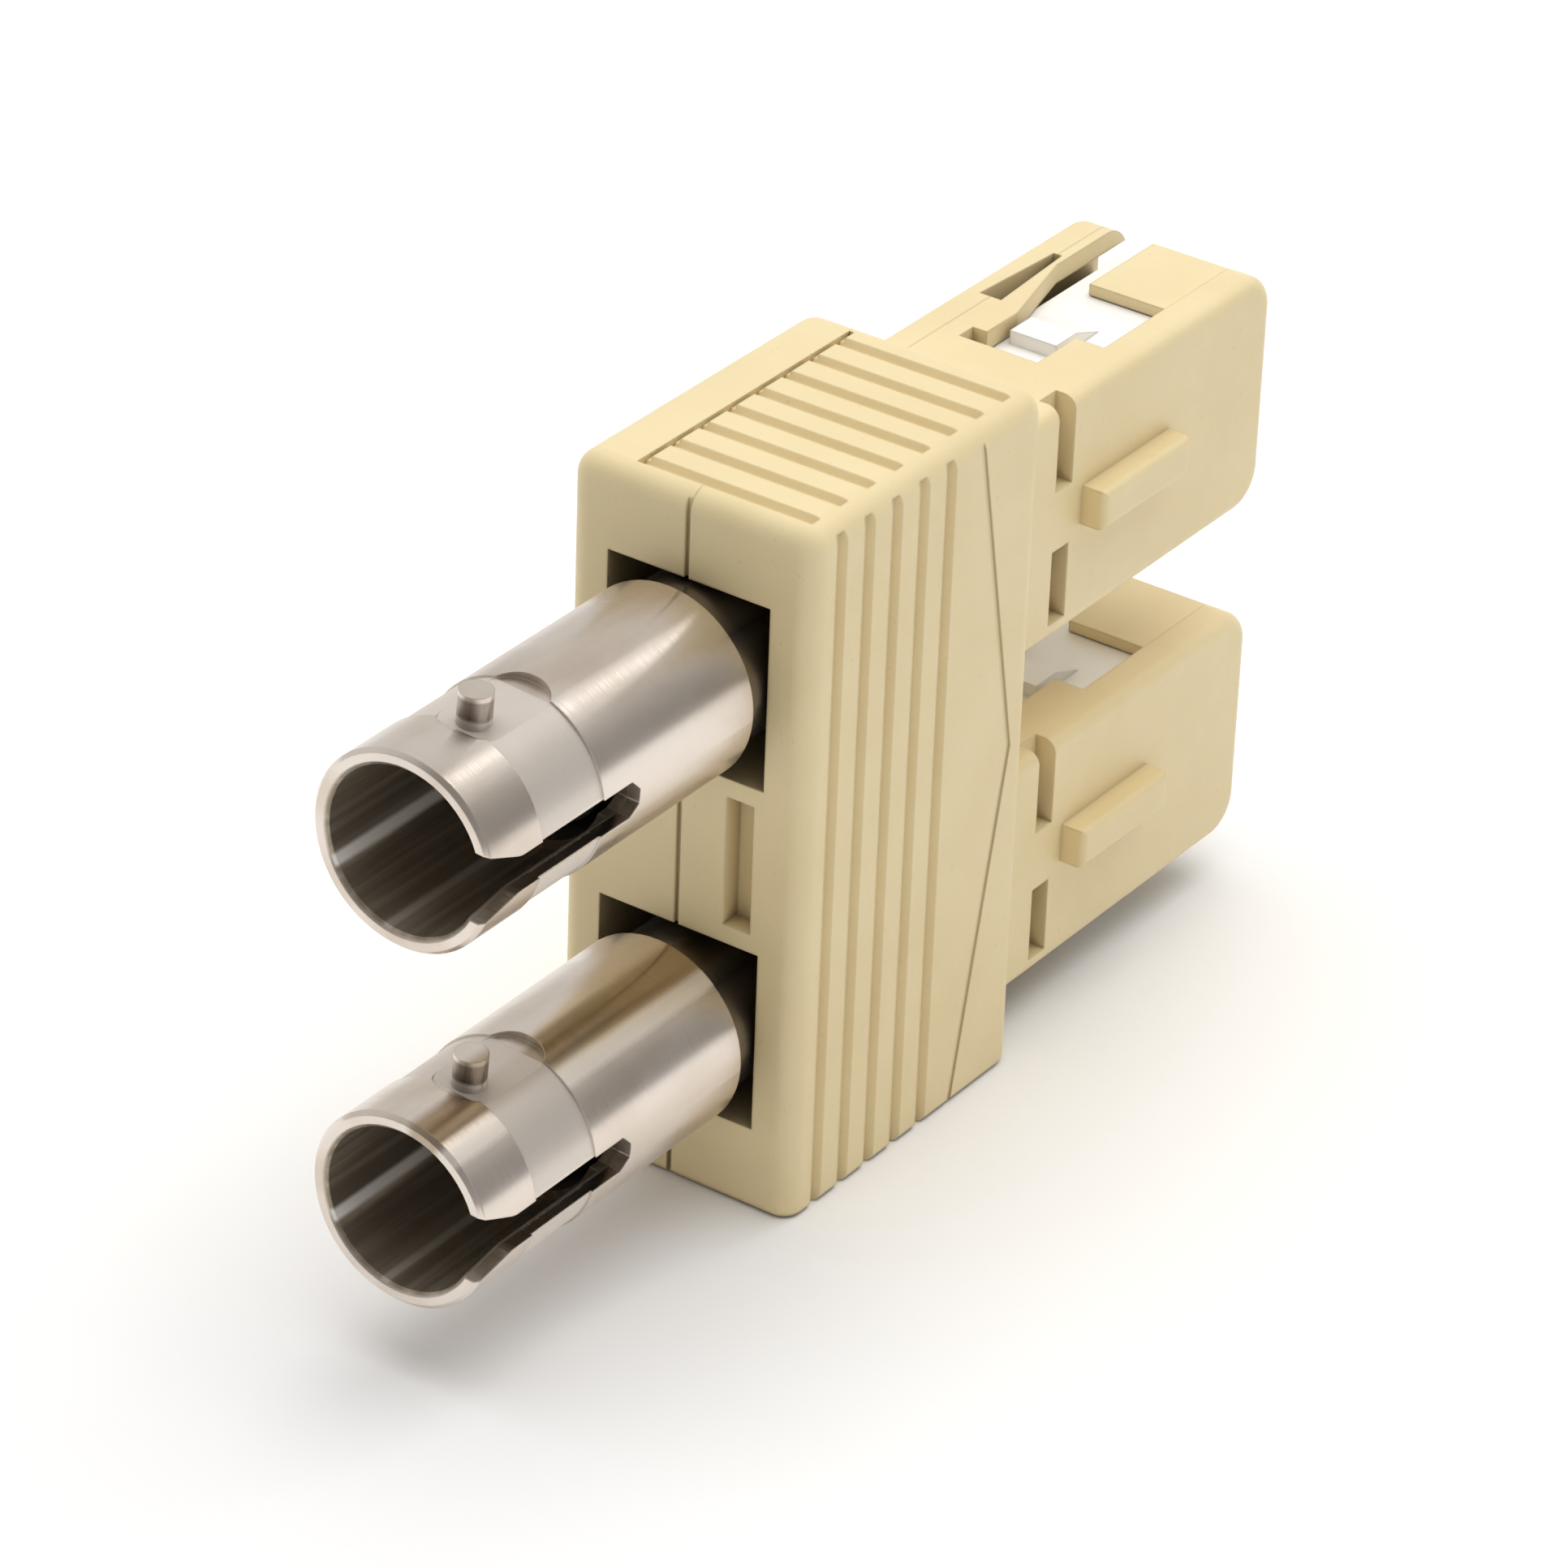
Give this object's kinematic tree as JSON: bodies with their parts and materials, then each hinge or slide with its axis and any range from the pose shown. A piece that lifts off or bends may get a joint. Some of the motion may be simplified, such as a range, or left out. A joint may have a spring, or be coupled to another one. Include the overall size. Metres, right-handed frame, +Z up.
{
  "type": "fibre optic adapter",
  "caption": "Duplex fibre optic adapter: ribbed beige body with plated bayonet barrels at the front and keyed push-pull plugs with spring-loaded ferrules at the back.",
  "frame": {"origin": "centre of the body's narrow bottom face", "axes": "+Z up, +Y along the fibres towards the push-pull plugs, +X towards their keys"},
  "size_m": [0.0094, 0.043, 0.0249],
  "materials": {
    "beige_plastic": "fine moulded satin",
    "nickel_plate": "nickel plated, bright turned",
    "dark_plastic": "satin",
    "bronze": "drawn",
    "ceramic": "polished",
    "steel": "bright",
    "white_plastic": "satin"
  },
  "bodies": {
    "housing": {"housing_main": "beige_plastic", "housing_cover": "beige_plastic", "st_barrel_upper": "nickel_plate", "sleeve_holder_upper": "dark_plastic", "split_sleeve_upper": "bronze", "st_barrel_lower": "nickel_plate", "sleeve_holder_lower": "dark_plastic", "split_sleeve_lower": "bronze"},
    "plug_upper": {"plug_frame_upper": "white_plastic", "spring_seat_upper": "dark_plastic", "ferrule_spring_upper": "steel"},
    "ferrule_upper": {"st_ferrule_upper": "ceramic", "ferrule_collar_upper": "steel", "sc_ferrule_upper": "ceramic"},
    "plug_lower": {"plug_frame_lower": "white_plastic", "spring_seat_lower": "dark_plastic", "ferrule_spring_lower": "steel"},
    "ferrule_lower": {"st_ferrule_lower": "ceramic", "ferrule_collar_lower": "steel", "sc_ferrule_lower": "ceramic"}
  },
  "joints": [
    {"name": "upper_plug_slide", "type": "slide", "parent": "housing", "child": "plug_upper", "axis": [0, 1, 0], "range_m": [0, 0.0012]},
    {"name": "upper_ferrule_float", "type": "slide", "parent": "plug_upper", "child": "ferrule_upper", "axis": [0, -1, 0], "range_m": [0, 0.001], "stiffness_N_per_m": 600, "deforming": ["ferrule_spring_upper"]},
    {"name": "lower_plug_slide", "type": "slide", "parent": "housing", "child": "plug_lower", "axis": [0, 1, 0], "range_m": [0, 0.0012]},
    {"name": "lower_ferrule_float", "type": "slide", "parent": "plug_lower", "child": "ferrule_lower", "axis": [0, -1, 0], "range_m": [0, 0.001], "stiffness_N_per_m": 600, "deforming": ["ferrule_spring_lower"]}
  ]
}
